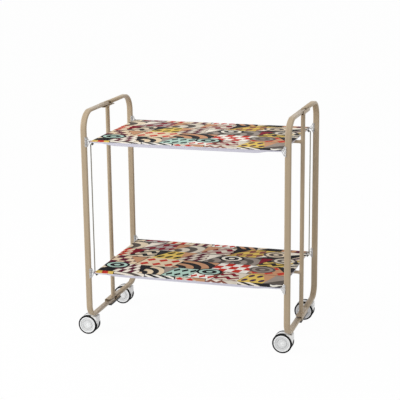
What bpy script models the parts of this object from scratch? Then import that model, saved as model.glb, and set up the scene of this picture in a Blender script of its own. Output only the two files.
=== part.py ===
"""Folding serving trolley: two side loops of flat oval tube, each in two half frames, on a centre frame.

Metres, +Z up. X runs along the trays, -Y is the front, and the wheels stand on Z = 0.
"""

import math

import bmesh
import bpy
from mathutils import Vector

# Side loops: each half frame is a C of flat oval tube, drawn on its centre line
LOOP_DEPTH = 0.405
GUARD_HEIGHT = 0.088
TOP_BEND_RADIUS = 0.055
BOTTOM_BEND_RADIUS = 0.040
TUBE_WIDTH = 0.0205
TUBE_THICKNESS = 0.0095
TUBE_WALL = 0.0012
TUBE_PAST_PIN = 0.0130
TUBE_END_ROUND_OVER = 0.0002

# Centre frame
POST_DIAMETER = 0.0135
BAR_DIAMETER = 0.0100
BRACKET_PAST_PIN = 0.0300
BRACKET_SHEET = 0.0015
BRACKET_SPACER = 0.0025
BRACKET_LIP_SHORT = 0.0010
BRACKET_WEB_PAST_MIDDLE = 0.0030
PIN_SPACING = 0.030
PIN_DIAMETER = 0.0060
PIN_HEAD_DIAMETER = 0.0100
PIN_HEAD_HEIGHT = 0.0012
PAD_THICKNESS = 0.0055
PAD_OVERHANG = 0.0005

# Trays
TRAY_LENGTH = 0.602
TRAY_END_GAP = 0.00875
TRAY_INSIDE_POSTS = 0.0005
TRAY_BOARD = 0.0040
TRAY_CORNER_RADIUS = 0.012
TRAY_EDGE_ROUND = 0.0012
TRAY_OVER_BAR = 0.0015
TILTED_TRAY_ABOVE_FLOOR = 0.0065
TILTED_TRAYS_APART = 0.015
LIP_THICKNESS = 0.0030
LIP_LEAST = 0.0005
UPPER_LIP_DEPTH = 0.0068
LOWER_LIP_DEPTH = 0.0042
LIP_TAPER_START = 0.036
LIP_TAPER_LENGTH = 0.045

# Hinge clips under the trays
HINGE_CLIP_LENGTH = 0.016
HINGE_CLIP_WALL = 0.0026
HINGE_CLIP_FROM_END = 0.020
HINGE_CLIP_MOUTH_DEG = 80.0

# Corner clips on the posts
CORNER_CLIP_HEIGHT = 0.030
CORNER_CLIP_WALL = 0.0014
CORNER_CLIP_LEG = 0.0005
CORNER_CLIP_RIB = 0.0050
CORNER_CLIP_ARM = 0.0022
CORNER_TONGUE_HEIGHT = 0.0050
CORNER_TONGUE_WIDTH = 0.0026
CORNER_TONGUE_LAND = 0.0010

# Tie rods between the trays and the eyes that hold them
ROD_DIAMETER = 0.0036
ROD_BEND = 0.0045
ROD_PAST_CORNER = 0.004
ROD_FROM_END = 0.0039
ROD_END_LENGTH = 0.0105
EYE_SHEET = 0.0020
EYE_WALL = 0.0027

# Casters
CASTER_INSET = 0.046
CASTER_TRAIL = 0.022
WHEEL_DIAMETER = 0.062
WHEEL_WIDTH = 0.0110
WHEEL_SIDE_GAP = 0.0005
TYRE_THICKNESS = 0.0046
TYRE_SHOULDER = 0.0022
HUB_DISH = 0.0030
HUB_FACE_RADIUS = 0.0190
HUB_BOSS_RADIUS = 0.0072
AXLE_DIAMETER = 0.0070
HOOD_WIDTH = 0.0140
HOOD_INSIDE_TREAD = 0.0016
HOOD_LIFT = 0.0012
HOOD_NECK_RADIUS = 0.0090
HOOD_OPEN_DEG = 346.0
HOOD_BELOW_TREAD = 0.0020
STEM_DIAMETER = 0.0090
STEM_COLLAR_DIAMETER = 0.0160
STEM_COLLAR_HEIGHT = 0.0030
STEM_ABOVE_HOOD = 0.0040
STEM_IN_RAIL = 0.0065
STEM_IN_HOOD = 0.0160

# Fits shared by all pieces
RUNNING_GAP = 0.0003
TUBE_IN_BRACKET_GAP = 0.0003
CUT_OVERRUN = 0.0020

# Facets
TUBE_FACETS = 5
BEND_STEPS = 6
ROUND_FACETS = 16
WHEEL_FACETS = 20

# Places that follow from the sizes above
TRAY_DEPTH = LOOP_DEPTH - 2 * TRAY_INSIDE_POSTS
TRAY_ABOVE_BAR = BAR_DIAMETER / 2 + TRAY_OVER_BAR
LOWER_BAR_Z = TRAY_DEPTH / 2 + TILTED_TRAY_ABOVE_FLOOR
UPPER_BAR_Z = LOWER_BAR_Z + TRAY_DEPTH + TILTED_TRAYS_APART
LOWER_TRAY_TOP = LOWER_BAR_Z + TRAY_ABOVE_BAR + TRAY_BOARD
UPPER_TRAY_TOP = UPPER_BAR_Z + TRAY_ABOVE_BAR + TRAY_BOARD
HOOD_TOP = WHEEL_DIAMETER - HOOD_BELOW_TREAD
RAIL_TOP = UPPER_TRAY_TOP + GUARD_HEIGHT
RAIL_BOTTOM = HOOD_TOP + STEM_ABOVE_HOOD + TUBE_THICKNESS / 2
LOOP_X = TRAY_LENGTH / 2 + TRAY_END_GAP + TUBE_WIDTH / 2
POST_Y = LOOP_DEPTH / 2
PIN_Y = PIN_SPACING / 2
BRACKET_LENGTH = PIN_SPACING + 2 * BRACKET_PAST_PIN
REACH = POST_Y - PIN_Y
BRACKET_INSIDE = TUBE_THICKNESS / 2 + TUBE_IN_BRACKET_GAP
BRACKET_FACE = BRACKET_INSIDE + BRACKET_SHEET
BRACKET_POST_INSIDE = BRACKET_INSIDE + BRACKET_SPACER
BRACKET_POST_FACE = BRACKET_POST_INSIDE + BRACKET_SHEET
BRACKET_OUTSIDE = TUBE_WIDTH / 2 + TUBE_IN_BRACKET_GAP + BRACKET_SHEET
WHEEL_RADIUS = WHEEL_DIAMETER / 2
HOOD_RADIUS = WHEEL_RADIUS - HOOD_INSIDE_TREAD
WHEEL_SPACING = HOOD_WIDTH + WHEEL_WIDTH + 2 * WHEEL_SIDE_GAP
CASTER_Y = POST_Y - CASTER_INSET
ROD_X = TRAY_LENGTH / 2 + ROD_FROM_END
ROD_Y = TRAY_DEPTH / 2 - TRAY_CORNER_RADIUS - ROD_PAST_CORNER
EYE_WIDTH = ROD_DIAMETER + 2 * EYE_WALL
LEFT_REACH = LOOP_X + CASTER_TRAIL + WHEEL_RADIUS
RIGHT_REACH = LOOP_X + BRACKET_OUTSIDE
CENTRING_X = (LEFT_REACH - RIGHT_REACH) / 2

SIDES = {"left": -1, "right": 1}
ENDS = {"front": -1, "rear": 1}
RAILS = {"top": (RAIL_TOP, -1), "bottom": (RAIL_BOTTOM, 1)}


def clear_scene():
    """Removes whatever the startup scene holds."""
    for obj in list(bpy.data.objects):
        bpy.data.objects.remove(obj)


def make_material(name, colour, roughness, metallic=0.0):
    """A plain Principled material."""
    material = bpy.data.materials.new(name)
    material.use_nodes = True
    shader = material.node_tree.nodes["Principled BSDF"]
    shader.inputs["Base Color"].default_value = (*colour, 1.0)
    shader.inputs["Roughness"].default_value = roughness
    shader.inputs["Metallic"].default_value = metallic
    return material


def make_empty(name, location, parent=None):
    """A joint axis or a group, as an empty that pieces hang on."""
    empty = bpy.data.objects.new(name, None)
    bpy.context.scene.collection.objects.link(empty)
    empty.parent = parent
    empty.location = location
    return empty


def make_object(name, mesh, material, location, parent=None):
    """Turns a bmesh into a named object with its faces outward."""
    bmesh.ops.recalc_face_normals(mesh, faces=mesh.faces)
    data = bpy.data.meshes.new(name)
    mesh.to_mesh(data)
    mesh.free()
    obj = bpy.data.objects.new(name, data)
    bpy.context.scene.collection.objects.link(obj)
    obj.parent = parent
    obj.location = location
    if material is not None:
        data.materials.append(material)
    return obj


def helper(obj):
    """Hides an object that only cuts or joins another."""
    obj.hide_render = True
    obj.display_type = "WIRE"
    return obj


def combine(target, other, operation):
    """Adds an exact Boolean with a helper object."""
    modifier = target.modifiers.new(f"{operation.lower()} {other.name}", "BOOLEAN")
    modifier.operation = operation
    modifier.solver = "EXACT"
    modifier.object = helper(other)


def extrude(points, axis, low, high):
    """A prism: the outline's points lie across the axis, in the order of the other two axes."""
    mesh = bmesh.new()
    order = {"X": (2, 0, 1), "Y": (0, 2, 1), "Z": (0, 1, 2)}[axis]
    rings = []
    for level in (low, high):
        rings.append([mesh.verts.new([(a, b, level)[k] for k in order]) for a, b in points])
    mesh.faces.new(rings[0])
    mesh.faces.new(list(reversed(rings[1])))
    for i in range(len(points)):
        j = (i + 1) % len(points)
        mesh.faces.new((rings[0][i], rings[1][i], rings[1][j], rings[0][j]))
    return mesh


def box(low, high):
    """A plain block between two corners."""
    outline = [(low[0], low[1]), (high[0], low[1]), (high[0], high[1]), (low[0], high[1])]
    return extrude(outline, "Z", low[2], high[2])


def arc(centre, radius, start_deg, end_deg, steps):
    """Points along a circle, ends included."""
    points = []
    for i in range(steps + 1):
        angle = math.radians(start_deg + (end_deg - start_deg) * i / steps)
        points.append((centre[0] + radius * math.cos(angle), centre[1] + radius * math.sin(angle)))
    return points


def turn(profile, axis, facets):
    """A turned solid: profile points are (radius, height along the axis), from one end to the other."""
    mesh = bmesh.new()
    rings = []
    for radius, height in profile:
        ring = []
        for i in range(facets if radius > 0 else 1):
            angle = 2 * math.pi * i / facets
            across = (radius * math.cos(angle), radius * math.sin(angle))
            place = {"Z": (*across, height), "Y": (across[0], height, across[1]), "X": (height, *across)}
            ring.append(mesh.verts.new(place[axis]))
        rings.append(ring)
    for lower, upper in zip(rings, rings[1:]):
        for i in range(facets):
            j = (i + 1) % facets
            corners = [lower[i % len(lower)], lower[j % len(lower)]]
            corners += [upper[j % len(upper)], upper[i % len(upper)]]
            mesh.faces.new(list(dict.fromkeys(corners)))
    return mesh


def ring_solid(profile, axis, facets):
    """A turned ring: the profile is a closed outline clear of the axis."""
    mesh = bmesh.new()
    rings = []
    for i in range(facets):
        angle = 2 * math.pi * i / facets
        ring = []
        for radius, height in profile:
            across = (radius * math.cos(angle), radius * math.sin(angle))
            place = {"Z": (*across, height), "Y": (across[0], height, across[1])}
            ring.append(mesh.verts.new(place[axis]))
        rings.append(ring)
    for i in range(facets):
        here, there = rings[i], rings[(i + 1) % facets]
        for k in range(len(profile)):
            m = (k + 1) % len(profile)
            mesh.faces.new((here[k], here[m], there[m], there[k]))
    return mesh


def cylinder(radius, axis, low, high, facets=ROUND_FACETS):
    """A round bar along an axis through the object's origin."""
    return turn([(0.0, low), (radius, low), (radius, high), (0.0, high)], axis, facets)


def flat_oval(width, thickness):
    """A tube section: two half rounds joined by flats, as (across the loop, in the loop's plane)."""
    radius = thickness / 2
    centre = width / 2 - radius
    right = arc((centre, 0.0), radius, -90, 90, TUBE_FACETS)
    left = arc((-centre, 0.0), radius, 90, 270, TUBE_FACETS)
    return right + left


def rounded_path(corners, radii):
    """Stations along a flat path of straight runs and bends, as (place, direction)."""
    stations = [(Vector(corners[0]), (Vector(corners[1]) - Vector(corners[0])).normalized())]
    for before, corner, after, radius in zip(corners, corners[1:], corners[2:], radii):
        come = (Vector(corner) - Vector(before)).normalized()
        go = (Vector(after) - Vector(corner)).normalized()
        centre = Vector(corner) - come * radius + go * radius
        for i in range(BEND_STEPS + 1):
            angle = math.pi / 2 * i / BEND_STEPS
            place = centre + come * radius * math.sin(angle) - go * radius * math.cos(angle)
            stations.append((place, come * math.cos(angle) + go * math.sin(angle)))
    stations.append((Vector(corners[-1]), stations[-1][1]))
    return stations


def sweep(section, stations, place, inner=None):
    """A bar along a flat path, or a tube where an inner section is given."""
    mesh = bmesh.new()
    skins = []
    for outline in [section] + ([inner] if inner else []):
        rings = []
        for centre, direction in stations:
            normal = Vector((-direction.y, direction.x))
            ring = [mesh.verts.new(place(across, centre + normal * out)) for across, out in outline]
            rings.append(ring)
        for here, there in zip(rings, rings[1:]):
            for i in range(len(outline)):
                j = (i + 1) % len(outline)
                mesh.faces.new((here[i], here[j], there[j], there[i]))
        skins.append(rings)
    for end in (0, -1):
        if inner:
            outside, inside = skins[0][end], skins[1][end]
            for i in range(len(outside)):
                j = (i + 1) % len(outside)
                mesh.faces.new((outside[i], outside[j], inside[j], inside[i]))
        else:
            mesh.faces.new(skins[0][end])
    return mesh


def half_frame(side, end, root, material):
    """A C of flat oval tube from its pins out to the corner post, with its origin on the pins' axis.

    The ends are rounded about the pins, so that they can turn inside the brackets.
    """
    name = f"{end}_{side}_half_frame"
    sign = ENDS[end]
    section = flat_oval(TUBE_WIDTH, TUBE_THICKNESS)
    inside = flat_oval(TUBE_WIDTH - 2 * TUBE_WALL, TUBE_THICKNESS - 2 * TUBE_WALL)
    corners = [
        (-TUBE_PAST_PIN, RAIL_TOP),
        (REACH, RAIL_TOP),
        (REACH, RAIL_BOTTOM),
        (-TUBE_PAST_PIN, RAIL_BOTTOM),
    ]
    stations = rounded_path(corners, (TOP_BEND_RADIUS, BOTTOM_BEND_RADIUS))
    mesh = sweep(section, stations, lambda across, at: (across, sign * at.x, at.y), inside)
    tube = make_object(name, mesh, material, (SIDES[side] * LOOP_X, sign * PIN_Y, 0.0), root)
    hole = PIN_DIAMETER / 2 + RUNNING_GAP
    wall_reach = TUBE_THICKNESS / 2 + CUT_OVERRUN
    end_radius = TUBE_WIDTH / 2 + TUBE_END_ROUND_OVER
    beside = end_radius + CUT_OVERRUN
    behind = -TUBE_PAST_PIN - CUT_OVERRUN
    round_end = arc((0.0, 0.0), end_radius, 90, 270, 12)
    round_end += [(0.0, -beside), (behind, -beside), (behind, beside), (0.0, beside)]
    past_round = [(across, sign * along) for along, across in round_end]
    for label, level in (("top", RAIL_TOP), ("bottom", RAIL_BOTTOM)):
        mesh = cylinder(hole, "Z", level - wall_reach, level + wall_reach)
        combine(tube, make_object(f"{name}_{label}_pin_hole", mesh, None, tube.location, root), "DIFFERENCE")
        mesh = extrude(past_round, "Z", level - wall_reach, level + wall_reach)
        combine(tube, make_object(f"{name}_{label}_end", mesh, None, tube.location, root), "DIFFERENCE")
    mesh = cylinder(STEM_DIAMETER / 2 + RUNNING_GAP, "Z", RAIL_BOTTOM - wall_reach, RAIL_BOTTOM)
    place = (SIDES[side] * LOOP_X, sign * CASTER_Y, 0.0)
    combine(tube, make_object(f"{name}_stem_hole", mesh, None, place, root), "DIFFERENCE")
    return tube


def bracket(side, level_name, root, material):
    """A folded sheet, open inward, that holds two half frames on riveted pins, with spacers toward the post.

    The bottom bracket has a second flange under the tubes. In the top one the tubes lie open.
    """
    name = f"{side}_{level_name}_bracket"
    outward = SIDES[side]
    level, toward_post = RAILS[level_name]
    mouth = -(TUBE_WIDTH / 2 - BRACKET_LIP_SHORT)
    web = BRACKET_OUTSIDE - BRACKET_SHEET
    section = [
        (BRACKET_OUTSIDE, BRACKET_POST_FACE),
        (mouth, BRACKET_POST_FACE),
        (mouth, BRACKET_POST_INSIDE),
        (web, BRACKET_POST_INSIDE),
    ]
    if level_name == "bottom":
        head_face, head_foot = BRACKET_FACE, BRACKET_FACE - BRACKET_SHEET / 2
        section += [(web, -BRACKET_INSIDE), (mouth, -BRACKET_INSIDE), (mouth, -BRACKET_FACE)]
        section.append((BRACKET_OUTSIDE, -BRACKET_FACE))
    else:
        head_face = head_foot = BRACKET_INSIDE
        section += [(web, -BRACKET_WEB_PAST_MIDDLE), (BRACKET_OUTSIDE, -BRACKET_WEB_PAST_MIDDLE)]
    outline = [(outward * x, toward_post * z) for x, z in section]
    mesh = extrude(outline, "Y", -BRACKET_LENGTH / 2, BRACKET_LENGTH / 2)
    channel = make_object(name, mesh, material, (outward * LOOP_X, 0.0, level), root)
    head, shaft = PIN_HEAD_DIAMETER / 2, PIN_DIAMETER / 2
    profile = [
        (0.0, -head_face - PIN_HEAD_HEIGHT),
        (head - PIN_HEAD_HEIGHT / 2, -head_face - PIN_HEAD_HEIGHT),
        (head, -head_face - PIN_HEAD_HEIGHT / 3),
        (head, -head_foot),
        (shaft, -head_foot),
        (shaft, BRACKET_INSIDE),
        (head, BRACKET_INSIDE),
        (head, BRACKET_POST_FACE + PIN_HEAD_HEIGHT / 3),
        (head - PIN_HEAD_HEIGHT / 2, BRACKET_POST_FACE + PIN_HEAD_HEIGHT),
        (0.0, BRACKET_POST_FACE + PIN_HEAD_HEIGHT),
    ]
    profile = [(radius, toward_post * z) for radius, z in profile]
    for end, sign in ENDS.items():
        pin = turn(profile, "Z", ROUND_FACETS)
        place = (outward * LOOP_X, sign * PIN_Y, level)
        combine(channel, make_object(f"{name}_{end}_pin", pin, None, place, root), "UNION")
    return channel


def bracket_pad(side, root, material):
    """A black plastic strip under a bottom bracket, open round the pin heads."""
    name = f"{side}_bottom_pad"
    outward = SIDES[side]
    half_width = TUBE_WIDTH / 2 + PAD_OVERHANG
    half_length = BRACKET_LENGTH / 2 - PAD_OVERHANG
    top = -BRACKET_FACE
    mesh = box((-half_width, -half_length, top - PAD_THICKNESS), (half_width, half_length, top))
    pad = make_object(name, mesh, material, (outward * LOOP_X, 0.0, RAIL_BOTTOM), root)
    for end, sign in ENDS.items():
        low = top - PAD_THICKNESS - CUT_OVERRUN
        mesh = cylinder(PIN_HEAD_DIAMETER / 2 + RUNNING_GAP, "Z", low, top + CUT_OVERRUN)
        place = (outward * LOOP_X, sign * PIN_Y, RAIL_BOTTOM)
        combine(pad, make_object(f"{name}_{end}_pin_hole", mesh, None, place, root), "DIFFERENCE")
    return pad


def middle_post(side, root, material):
    """The upright between the two brackets of one side loop."""
    low, high = RAIL_BOTTOM + BRACKET_POST_FACE, RAIL_TOP - BRACKET_POST_FACE
    mesh = cylinder(POST_DIAMETER / 2, "Z", low, high)
    return make_object(f"{side}_middle_post", mesh, material, (SIDES[side] * LOOP_X, 0.0, 0.0), root)


def cross_bar(level_name, height, root, material):
    """A bar between the middle posts, on which a tray tilts."""
    half_length = LOOP_X - POST_DIAMETER / 2 - RUNNING_GAP
    mesh = cylinder(BAR_DIAMETER / 2, "X", -half_length, half_length)
    return make_object(f"{level_name}_cross_bar", mesh, material, (0.0, 0.0, height), root)


def tray_half_depth(x):
    """Half the tray's depth at a place along it, less at the rounded corners."""
    into_corner = abs(x) - (TRAY_LENGTH / 2 - TRAY_CORNER_RADIUS)
    if into_corner <= 0:
        return TRAY_DEPTH / 2
    drop = TRAY_CORNER_RADIUS - math.sqrt(max(TRAY_CORNER_RADIUS**2 - into_corner**2, 0.0))
    return TRAY_DEPTH / 2 - drop


def lip_at(x, depth):
    """How far the front and rear lips hang below the board at a place along it."""
    from_end = TRAY_LENGTH / 2 - abs(x) - LIP_TAPER_START
    share = min(max(from_end / LIP_TAPER_LENGTH, 0.0), 1.0)
    return LIP_LEAST + (depth - LIP_LEAST) * share * share * (3 - 2 * share)


def tray_board(level_name, lip_depth, axis, material):
    """The tray: a laminate board with lips turned down along its front and rear edges."""
    half_length = TRAY_LENGTH / 2
    corner_shares = (0.0, 0.3, 0.6, 0.85, 1.0)
    taper_shares = (0.0, 0.2, 0.4, 0.6, 0.8, 1.0)
    places = [half_length - TRAY_CORNER_RADIUS * (1 - share) for share in corner_shares]
    taper_end = half_length - LIP_TAPER_START
    places += [taper_end - LIP_TAPER_LENGTH * share for share in taper_shares]
    stations = sorted({round(s * x, 9) for x in places for s in (-1, 1)})
    underside = TRAY_ABOVE_BAR
    top = underside + TRAY_BOARD
    mesh = bmesh.new()
    rings = []
    for x in stations:
        y = tray_half_depth(x)
        hem = underside - lip_at(x, lip_depth)
        side = [
            (y - TRAY_EDGE_ROUND, top),
            (y, top - TRAY_EDGE_ROUND),
            (y, hem),
            (y - LIP_THICKNESS, hem),
            (y - LIP_THICKNESS, underside),
        ]
        outline = side + [(-a, b) for a, b in reversed(side)]
        rings.append([mesh.verts.new((x, a, b)) for a, b in outline])
    for here, there in zip(rings, rings[1:]):
        for i in range(len(here)):
            j = (i + 1) % len(here)
            mesh.faces.new((here[i], here[j], there[j], there[i]))
    for ring in (rings[0], rings[-1]):
        mesh.faces.new((ring[0], ring[1], ring[8], ring[9]))
        mesh.faces.new((ring[1], ring[4], ring[5], ring[8]))
        mesh.faces.new(ring[1:5])
        mesh.faces.new(ring[5:9])
    return make_object(f"{level_name}_tray", mesh, material, (0.0, 0.0, 0.0), axis)


def hinge_clip(level_name, side, axis, material):
    """A snap clip under a tray that turns on the cross bar."""
    inner = BAR_DIAMETER / 2 + RUNNING_GAP
    outer = inner + HINGE_CLIP_WALL
    mouth = HINGE_CLIP_MOUTH_DEG / 2
    outline = [(-outer, TRAY_ABOVE_BAR)]
    outline += arc((0.0, 0.0), outer, 180, 270 - mouth, 5)
    outline += arc((0.0, 0.0), inner, 270 - mouth, -90 + mouth, 14)
    outline += arc((0.0, 0.0), outer, -90 + mouth, 0, 5)
    outline.append((outer, TRAY_ABOVE_BAR))
    middle = SIDES[side] * (TRAY_LENGTH / 2 - HINGE_CLIP_FROM_END)
    mesh = extrude(outline, "X", -HINGE_CLIP_LENGTH / 2, HINGE_CLIP_LENGTH / 2)
    return make_object(f"{level_name}_{side}_hinge_clip", mesh, material, (middle, 0.0, 0.0), axis)


def corner_clip(level_name, height, side, end, root, material):
    """A saddle on a corner post with a ribbed arm and a tongue that holds the tray's end level."""
    name = f"{level_name}_{end}_{side}_corner_clip"
    inward, sign = -SIDES[side], ENDS[end]
    radius = TUBE_THICKNESS / 2 + RUNNING_GAP
    outer = radius + CORNER_CLIP_WALL
    round_x = TUBE_WIDTH / 2 - TUBE_THICKNESS / 2
    shell = [(round_x - CORNER_CLIP_LEG, -outer)]
    shell += arc((round_x, 0.0), outer, -90, 90, 8)
    shell.append((round_x - CORNER_CLIP_LEG, outer))
    shell.append((round_x - CORNER_CLIP_LEG, radius))
    shell += arc((round_x, 0.0), radius, 90, -90, 8)
    shell.append((round_x - CORNER_CLIP_LEG, -radius))
    half = CORNER_CLIP_HEIGHT / 2
    board_middle = height - TRAY_BOARD / 2
    place = (SIDES[side] * LOOP_X, sign * POST_Y, board_middle)
    mesh = extrude([(inward * x, y) for x, y in shell], "Z", -half, half)
    saddle = make_object(name, mesh, material, place, root)
    start = round_x + outer - CORNER_CLIP_WALL / 2
    tip = LOOP_X - TRAY_LENGTH / 2 - RUNNING_GAP
    arm = CORNER_CLIP_ARM
    tongue_half = CORNER_TONGUE_HEIGHT / 2
    rib = [
        (start, -half),
        (start, -half + arm),
        (tip - arm, -tongue_half),
        (start, -arm / 2),
        (start, arm / 2),
        (tip - arm, tongue_half),
        (start, half - arm),
        (start, half),
        (tip, tongue_half),
        (tip, -tongue_half),
    ]
    outline = [(inward * x, z) for x, z in rib]
    mesh = extrude(outline, "Y", -CORNER_CLIP_RIB / 2, CORNER_CLIP_RIB / 2)
    combine(saddle, make_object(f"{name}_rib", mesh, None, place, root), "UNION")
    reach = POST_Y - TRAY_DEPTH / 2 + TRAY_CORNER_RADIUS + CORNER_TONGUE_LAND
    ends_y = sorted((0.0, -sign * reach))
    ends_x = sorted((inward * tip, inward * (tip - CORNER_TONGUE_WIDTH)))
    thin = tongue_half - RUNNING_GAP
    mesh = box((ends_x[0], ends_y[0], -thin), (ends_x[1], ends_y[1], thin))
    combine(saddle, make_object(f"{name}_tongue", mesh, None, place, root), "UNION")
    return saddle


def rod_eye(level_name, side, end, axis, material):
    """A drilled lug under a tray corner that holds a tie rod's bent end."""
    name = f"{level_name}_{end}_{side}_rod_eye"
    middle = SIDES[side] * (TRAY_LENGTH / 2 - EYE_SHEET)
    half = EYE_WIDTH / 2
    outline = [(-half, TRAY_ABOVE_BAR)] + arc((0.0, 0.0), half, 180, 360, 10) + [(half, TRAY_ABOVE_BAR)]
    mesh = extrude(outline, "X", -EYE_SHEET / 2, EYE_SHEET / 2)
    place = (middle, ENDS[end] * ROD_Y, 0.0)
    eye = make_object(name, mesh, material, place, axis)
    reach = EYE_SHEET / 2 + CUT_OVERRUN
    mesh = cylinder(ROD_DIAMETER / 2 + RUNNING_GAP, "X", -reach, reach)
    combine(eye, make_object(f"{name}_hole", mesh, None, place, axis), "DIFFERENCE")
    return eye


def tie_rod(side, end, axis, material):
    """A wire from the upper tray's eye down to the lower tray's, bent inward at both ends."""
    radius = ROD_DIAMETER / 2
    section = arc((0.0, 0.0), radius, 0, 360, 10)[:-1]
    drop = UPPER_BAR_Z - LOWER_BAR_Z
    inward = -SIDES[side]
    corners = [(ROD_END_LENGTH, 0.0), (0.0, 0.0), (0.0, -drop), (ROD_END_LENGTH, -drop)]
    stations = rounded_path(corners, (ROD_BEND, ROD_BEND))
    mesh = sweep(section, stations, lambda across, at: (inward * at.x, across, at.y))
    place = (SIDES[side] * ROD_X, ENDS[end] * ROD_Y, 0.0)
    return make_object(f"{end}_{side}_tie_rod", mesh, material, place, axis)


def caster(side, end, root, materials):
    """A twin-wheel swivel caster: a stem in the rail, a hood with stub axles, two hubs and two tyres."""
    name = f"{end}_{side}_caster"
    place = (SIDES[side] * LOOP_X, ENDS[end] * CASTER_Y, 0.0)
    rail_underside = RAIL_BOTTOM - TUBE_THICKNESS / 2
    collar_top = rail_underside - RUNNING_GAP
    collar_low = HOOD_TOP + RUNNING_GAP
    profile = [
        (0.0, HOOD_TOP - STEM_IN_HOOD),
        (STEM_DIAMETER / 2, HOOD_TOP - STEM_IN_HOOD),
        (STEM_DIAMETER / 2, collar_low),
        (STEM_COLLAR_DIAMETER / 2, collar_low),
        (STEM_COLLAR_DIAMETER / 2, collar_low + STEM_COLLAR_HEIGHT),
        (STEM_DIAMETER / 2, collar_low + STEM_COLLAR_HEIGHT),
        (STEM_DIAMETER / 2, collar_top + STEM_IN_RAIL),
        (0.0, collar_top + STEM_IN_RAIL),
    ]
    make_object(f"{name}_stem", turn(profile, "Z", ROUND_FACETS), materials["steel"], place, root)
    swivel = make_empty(f"{name}_swivel_axis", place, root)
    hood_middle = WHEEL_RADIUS + HOOD_LIFT
    neck_deg = math.degrees(math.asin((HOOD_TOP - hood_middle) / HOOD_RADIUS))
    outline = arc((-CASTER_TRAIL, hood_middle), HOOD_RADIUS, neck_deg, HOOD_OPEN_DEG, 16)
    outline.append((HOOD_NECK_RADIUS, HOOD_TOP - STEM_IN_HOOD - HOOD_NECK_RADIUS / 2))
    outline.append((HOOD_NECK_RADIUS, HOOD_TOP))
    mesh = extrude(outline, "Y", -HOOD_WIDTH / 2, HOOD_WIDTH / 2)
    hood = make_object(f"{name}_hood", mesh, materials["hood"], (0.0, 0.0, 0.0), swivel)
    axle_half = WHEEL_SPACING / 2 + WHEEL_WIDTH / 2 - HUB_DISH
    axle_place = (-CASTER_TRAIL, 0.0, WHEEL_RADIUS)
    mesh = cylinder(AXLE_DIAMETER / 2, "Y", -axle_half, axle_half)
    combine(hood, make_object(f"{name}_axle", mesh, None, axle_place, swivel), "UNION")
    socket = STEM_DIAMETER / 2 + RUNNING_GAP
    low = HOOD_TOP - STEM_IN_HOOD - RUNNING_GAP
    mesh = cylinder(socket, "Z", low, HOOD_TOP + CUT_OVERRUN)
    combine(hood, make_object(f"{name}_socket", mesh, None, (0.0, 0.0, 0.0), swivel), "DIFFERENCE")
    for label, sign in (("front", -1), ("rear", 1)):
        wheel(f"{name}_{label}", sign, swivel, materials)


def wheel(name, sign, swivel, materials):
    """A hub with a stepped face and a thin tyre, both with their origin on the axle."""
    half = WHEEL_WIDTH / 2
    tyre_inside = WHEEL_RADIUS - TYRE_THICKNESS
    rim = tyre_inside - RUNNING_GAP
    bore = AXLE_DIAMETER / 2 + RUNNING_GAP
    outer_face = [
        (rim, half),
        (rim - HUB_DISH / 2, half),
        (rim - HUB_DISH, half - HUB_DISH / 2),
        (HUB_FACE_RADIUS, half - HUB_DISH / 2),
        (HUB_FACE_RADIUS - HUB_DISH / 3, half - HUB_DISH / 4),
        (HUB_BOSS_RADIUS + HUB_DISH / 3, half - HUB_DISH / 4),
        (HUB_BOSS_RADIUS, half - HUB_DISH),
    ]
    profile = [(bore, -half), (rim, -half)] + outer_face + [(bore, half - HUB_DISH)]
    place = (-CASTER_TRAIL, sign * WHEEL_SPACING / 2, WHEEL_RADIUS)
    outline = [(radius, sign * across) for radius, across in profile]
    make_object(f"{name}_hub", ring_solid(outline, "Y", WHEEL_FACETS), materials["hub"], place, swivel)
    shoulder = [
        (tyre_inside, half),
        (WHEEL_RADIUS - TYRE_SHOULDER / 2, half),
        (WHEEL_RADIUS, half - TYRE_SHOULDER),
        (WHEEL_RADIUS, -half + TYRE_SHOULDER),
        (WHEEL_RADIUS - TYRE_SHOULDER / 2, -half),
        (tyre_inside, -half),
    ]
    make_object(f"{name}_tyre", ring_solid(shoulder, "Y", WHEEL_FACETS), materials["tyre"], place, swivel)


clear_scene()
lacquer = make_material("beige_lacquer", (0.40, 0.32, 0.24), 0.45)
laminate = make_material("printed_laminate", (0.55, 0.40, 0.32), 0.35)
clip_plastic = make_material("clear_plastic", (0.80, 0.80, 0.78), 0.35)
black_plastic = make_material("black_plastic", (0.03, 0.03, 0.03), 0.55)
rod_steel = make_material("grey_wire", (0.30, 0.30, 0.28), 0.40, 0.6)
caster_materials = {
    "steel": make_material("zinc_steel", (0.45, 0.45, 0.45), 0.35, 1.0),
    "hood": make_material("white_plastic", (0.78, 0.78, 0.76), 0.40),
    "hub": make_material("grey_plastic", (0.60, 0.60, 0.60), 0.45),
    "tyre": make_material("black_rubber", (0.02, 0.02, 0.02), 0.70),
}

trolley = make_empty("trolley", (CENTRING_X, 0.0, 0.0))
for side_name in SIDES:
    middle_post(side_name, trolley, lacquer)
    for rail_name in RAILS:
        bracket(side_name, rail_name, trolley, lacquer)
    bracket_pad(side_name, trolley, black_plastic)
    for end_name in ENDS:
        half_frame(side_name, end_name, trolley, lacquer)
        caster(side_name, end_name, trolley, caster_materials)

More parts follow.
